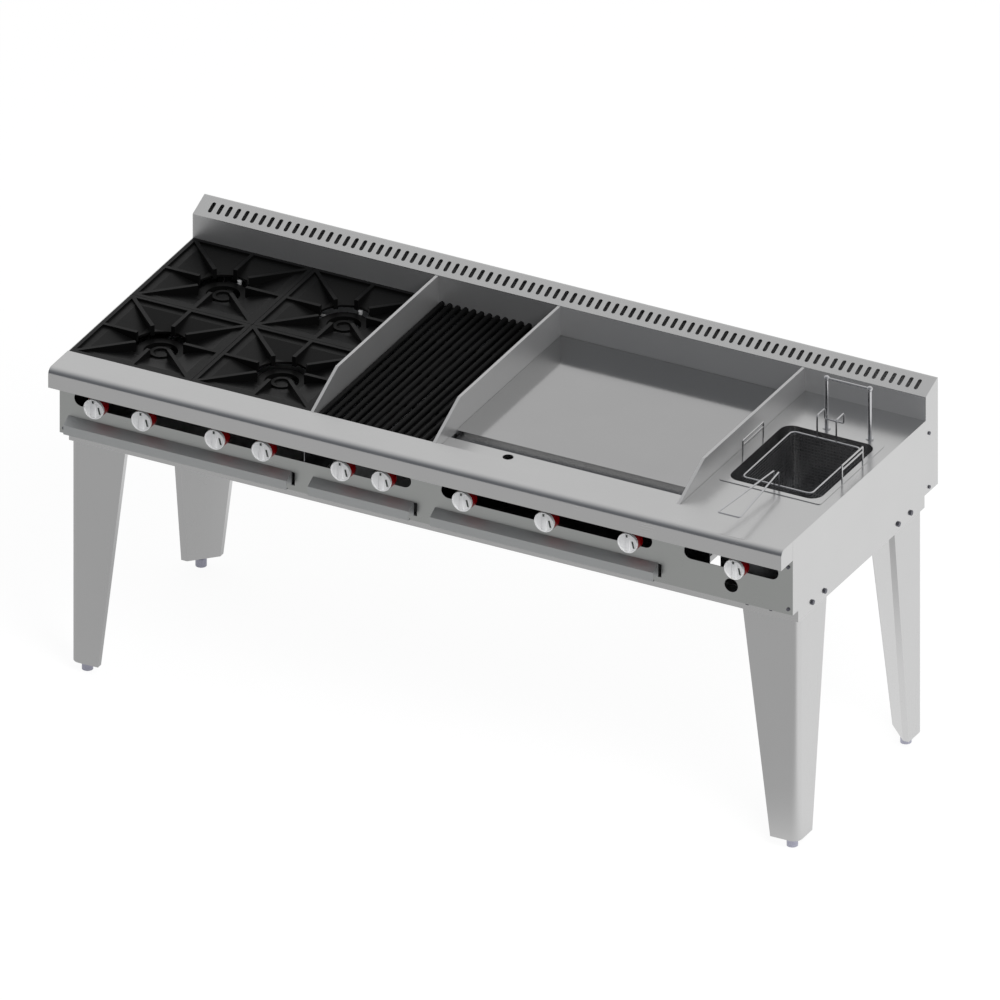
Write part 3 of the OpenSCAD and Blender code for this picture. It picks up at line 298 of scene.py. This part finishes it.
def edit_faces(ob, test):
    """Opens edit mode with those faces selected whose centre and normal pass the test."""
    select_only(ob)
    bpy.ops.object.mode_set(mode="EDIT")
    bpy.ops.mesh.select_mode(type="FACE")
    bpy.ops.mesh.select_all(action="DESELECT")
    shape = bmesh.from_edit_mesh(ob.data)
    for face in shape.faces:
        face.select_set(test(face.calc_center_median(), face.normal))
    bmesh.update_edit_mesh(ob.data)


def soften(ob, width, material, segments=2):
    """Rounds the sharp edges by a width in millimetres, smooths the shading and gives the material."""
    select_only(ob)
    edge = ob.modifiers.new("edge", "BEVEL")
    edge.width, edge.segments, edge.angle_limit = width * MM, segments, math.radians(30)
    bpy.ops.object.modifier_apply(modifier="edge")
    bpy.ops.object.shade_smooth_by_angle(angle=math.radians(35))
    ob.data.materials.clear()
    ob.data.materials.append(material)
    return ob


def drum(front_r, rear_r, y_front, y_rear, sides=72):
    """A round solid along Y, its front and rear radius and its two ends in millimetres."""
    bpy.ops.mesh.primitive_cone_add(
        vertices=sides, radius1=rear_r * MM, radius2=front_r * MM, depth=(y_rear - y_front) * MM,
        location=(0, (y_front + y_rear) / 2 * MM, 0), rotation=(math.pi / 2, 0, 0))
    bpy.ops.object.transform_apply(location=True, rotation=True, scale=True)
    return bpy.context.object


def bar(size, centre, tilt=0):
    """A box of the given size about a centre, in millimetres, tilted about Y in degrees."""
    bpy.ops.mesh.primitive_cube_add(size=1, location=[c * MM for c in centre],
                                    rotation=(0, math.radians(tilt), 0), scale=[v * MM for v in size])
    bpy.ops.object.transform_apply(location=True, rotation=True, scale=True)
    return bpy.context.object


def join(parts, name):
    """Joins the parts into one object with the given name."""
    select_only(parts[0])
    for part in parts[1:]:
        part.select_set(True)
    bpy.ops.object.join()
    parts[0].name = parts[0].data.name = name
    return parts[0]

# %% [markdown]
# A knob is two mouldings on a steel stem: a silver-white face with a raised rim and a grip bar, and a deep
# red skirt that widens a little towards the panel. Two dark patches on the face are painted shade: a notch
# at the top where the grip bar meets the rim, and a strip of painted shadow beside the grip bar's right
# side.
# It is modelled once at the origin, with its front at Y = 0, and then copied to the ten valves.

# %% Knobs
def plastic(name, tone, rough, speck=0.8):
    """A moulded plastic with a fine grain, its size in millimetres."""
    material, tree = blank(name)
    where = add(tree, "ShaderNodeTexCoord")
    grain = add(tree, "ShaderNodeTexNoise",
                {"Vector": where.outputs["Object"], "Scale": 1 / (speck * MM), "Detail": 2.0})
    level = add(tree, "ShaderNodeMapRange",
                {0: grain.outputs["Fac"], 1: 0.3, 2: 0.7, 3: rough - 0.05, 4: rough + 0.05})
    dull = [c * 0.9 for c in colour(tone)[:3]] + [1]
    tint = add(tree, "ShaderNodeMix", {0: grain.outputs["Fac"], 6: dull, 7: colour(tone)},
               data_type="RGBA")
    relief = add(tree, "ShaderNodeBump",
                 {"Height": grain.outputs["Fac"], "Strength": 0.05, "Distance": 0.1 * MM})
    shader = add(tree, "ShaderNodeBsdfPrincipled",
                 {"Base Color": tint.outputs[2], "Roughness": level.outputs[0],
                  "Normal": relief.outputs[0]})
    add(tree, "ShaderNodeOutputMaterial", {0: shader.outputs[0]})
    return material


# Moulded thermoset plastics: glossy, with the faint grain of the mould.
knob_white = plastic("silver_white_knob_face", "#FCFCFC", 0.30)
knob_red = plastic("red_knob_skirt", "#960008", 0.28)
# Painted shade: a matt dark grey for the shadows at the grip bar's top and beside its right side.
painted_shade_dark = plastic("painted_grip_shade", "#3A403C", 0.45)
# Sizes in millimetres; Y counts from the face towards the panel.
FACE_R, RIM_W, DISH = 23.8, 2.2, 2.2
face = drum(FACE_R, FACE_R, 0, 8)
edit_faces(face, lambda centre, normal: normal.y < -0.9)
bpy.ops.mesh.inset(thickness=RIM_W * MM)
bpy.ops.mesh.inset(thickness=0.8 * MM, depth=-DISH * MM)
bpy.ops.object.mode_set(mode="OBJECT")
soften(face, 0.7, knob_white)
grip = soften(bar((12, 4, 41), (0, 2.4, 0)), 1.6, knob_white, 3)
# painted shade: a small dark notch at the top of the face, where the grip bar meets the rim
painted_notch_shade = soften(bar((4.5, 0.8, 6), (-1, 0.6, 17)), 0.2, painted_shade_dark)
# painted shadow: a dark strip on the dish beside the grip bar's right side
painted_grip_shadow = soften(bar((4.2, 0.8, 17), (13.5, DISH, -2), -14), 0.3, painted_shade_dark)
skirt = drum(23.6, 25, 6.5, 28)
edit_faces(skirt, lambda centre, normal: normal.y > 0.9)
bpy.ops.mesh.inset(thickness=2 * MM)
bpy.ops.mesh.inset(thickness=0.5 * MM, depth=-3 * MM)
bpy.ops.object.mode_set(mode="OBJECT")
soften(skirt, 0.8, knob_red)
stem = soften(drum(3.9, 3.9, 24, 47), 0.4, bright_wire)
knob = join([face, grip, painted_notch_shade, painted_grip_shadow, skirt, stem], "knob_master")
for i in range(1, 11):
    low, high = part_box("knob_%d" % i)
    place = Vector(((low[0] + high[0]) / 2, low[1], (low[2] + high[2]) / 2))
    copy = bpy.data.objects.new("knob_model_%d" % i, knob.data.copy())
    copy.data.transform(Matrix.Translation(place))
    scene.collection.objects.link(copy)
    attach(copy, "knob_%d" % i)
    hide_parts("knob_%d" % i)
bpy.data.objects.remove(knob)
print("ten knobs")

# %% [markdown]
# The fryer basket is woven from thin plated wire round a thick rim. Its weave starts as a grid for the
# bottom; the grid's border is pulled up row by row to make the sides, and a wireframe modifier then
# turns each edge into a wire. The rim, the V-shaped handle and the hook are bent from thicker wire.

# %% Fryer basket
BASKET_X, BASKET_Y, BASKET_W, BASKET_L = 750, 15.5, 175, 239
RIM_Z, BOTTOM_Z, CELL, WEAVE = 793, 651.5, 7.6, 1.3


def wire(points, radius, bend=0, closed=False):
    """A round wire through points in millimetres, its corners bent to a radius."""
    last = len(points) - 1
    links = [(i, i + 1) for i in range(last)] + ([(last, 0)] if closed else [])
    path = bpy.data.meshes.new("wire")
    path.from_pydata([[v * MM for v in point] for point in points], links, [])
    ob = bpy.data.objects.new("wire", path)
    scene.collection.objects.link(ob)
    select_only(ob)
    if bend:
        bpy.ops.object.mode_set(mode="EDIT")
        bpy.ops.mesh.select_mode(type="VERT")
        bpy.ops.mesh.select_all(action="DESELECT")
        shape = bmesh.from_edit_mesh(ob.data)
        for vertex in shape.verts:
            vertex.select_set(len(vertex.link_edges) == 2)
        bmesh.update_edit_mesh(ob.data)
        bpy.ops.mesh.bevel(offset=bend * MM, segments=6, affect="VERTICES")
        bpy.ops.object.mode_set(mode="OBJECT")
    bpy.ops.object.convert(target="CURVE")
    ob.data.bevel_depth, ob.data.bevel_resolution, ob.data.use_fill_caps = radius * MM, 3, True
    bpy.ops.object.convert(target="MESH")
    bpy.ops.object.shade_smooth_by_angle(angle=math.radians(50))
    ob.data.materials.clear()
    ob.data.materials.append(bright_wire)
    return ob


across, along = BASKET_W - 5, BASKET_L - 5
bpy.ops.object.select_all(action="DESELECT")
bpy.ops.mesh.primitive_grid_add(x_subdivisions=round(across / CELL), y_subdivisions=round(along / CELL),
                                size=1, location=(BASKET_X * MM, BASKET_Y * MM, BOTTOM_Z * MM))
weave = bpy.context.object
weave.scale = (across * MM, along * MM, 1)
bpy.ops.object.transform_apply(location=True, rotation=True, scale=True)
bpy.ops.object.mode_set(mode="EDIT")
bpy.ops.mesh.select_mode(type="EDGE")
bpy.ops.mesh.select_all(action="DESELECT")
bpy.ops.mesh.select_non_manifold()
rows = round((RIM_Z - BOTTOM_Z) / CELL)
row_height = (RIM_Z - BOTTOM_Z) / rows * MM
for row in range(rows):
    bpy.ops.mesh.extrude_region_move(TRANSFORM_OT_translate={"value": (0, 0, row_height)})
bpy.ops.object.mode_set(mode="OBJECT")
lace = weave.modifiers.new("lace", "WIREFRAME")
lace.thickness, lace.use_even_offset = WEAVE * MM, False
bpy.ops.object.modifier_apply(modifier="lace")
weave.data.materials.append(dull_wire)


def ring(z, radius):
    """A wire hoop round the basket at a height."""
    x, y = across / 2, along / 2
    corners = [(-x, -y), (x, -y), (x, y), (-x, y)]
    return wire([(BASKET_X + a, BASKET_Y + b, z) for a, b in corners], radius, 12, True)


front, rear = BASKET_Y - BASKET_L / 2 + 2.5, BASKET_Y + BASKET_L / 2 - 2.5
HANDLE_Z, HOOK_Z = RIM_Z + 35, RIM_Z + 55
HANDLE_END, NECK, SPREAD = -326, 6, 27
HOOK_HALF, HOOK_REAR, HOOK_LOW = 23.5, 168, HOOK_Z - 25
handle = wire([(BASKET_X + x, y, z) for x, y, z in [
    (-NECK, front, RIM_Z), (-NECK, front, HANDLE_Z), (-SPREAD, HANDLE_END, HANDLE_Z),
    (SPREAD, HANDLE_END, HANDLE_Z), (NECK, front, HANDLE_Z), (NECK, front, RIM_Z)]], 2.25, 5)
hook = wire([(BASKET_X + x, y, z) for x, y, z in [
    (-HOOK_HALF, rear, RIM_Z), (-HOOK_HALF, rear, HOOK_Z), (-HOOK_HALF, HOOK_REAR, HOOK_Z),
    (-HOOK_HALF, HOOK_REAR, HOOK_LOW), (HOOK_HALF, HOOK_REAR, HOOK_LOW),
    (HOOK_HALF, HOOK_REAR, HOOK_Z), (HOOK_HALF, rear, HOOK_Z), (HOOK_HALF, rear, RIM_Z)]], 2, 4)
basket = join([weave, ring(RIM_Z, 2.5), ring(BOTTOM_Z, 1.5), handle, hook], "fryer_basket_wirework")
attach(basket, "fryer_basket")
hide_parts("fryer_basket")
print("basket woven")
